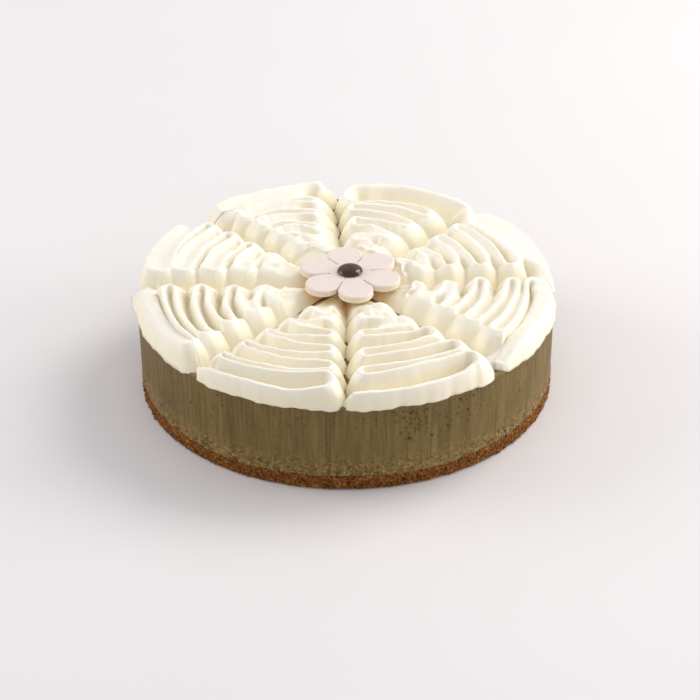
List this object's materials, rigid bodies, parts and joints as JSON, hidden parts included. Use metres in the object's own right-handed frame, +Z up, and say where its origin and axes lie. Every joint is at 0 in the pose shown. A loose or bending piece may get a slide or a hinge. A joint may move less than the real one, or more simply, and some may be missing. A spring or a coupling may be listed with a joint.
{
  "type": "cheesecake",
  "caption": "Whole round cheesecake with a crumb base, a smooth olive-brown filling, wedges of piped cream ribbon on top and a flat pale flower with a dark button in the middle.",
  "frame": {"origin": "middle of the cake's flat underside, where it rests", "axes": "+Z up; -Y is the side that faces the picture's camera, +X is to the right"},
  "size_m": [0.2008, 0.2012, 0.0623],
  "materials": {
    "crumb": "matte baked crumb",
    "filling": "smooth soft satin",
    "cream": "soft satin whipped cream",
    "petal": "matte",
    "button": "glossy"
  },
  "bodies": {
    "root": {"crumb_base": "crumb", "filling": "filling", "cream_wedge_1": "cream", "cream_wedge_2": "cream", "cream_wedge_3": "cream", "cream_wedge_4": "cream", "cream_wedge_5": "cream", "cream_wedge_6": "cream", "cream_wedge_7": "cream", "cream_wedge_8": "cream", "flower": "petal", "flower_button": "button"}
  },
  "joints": []
}
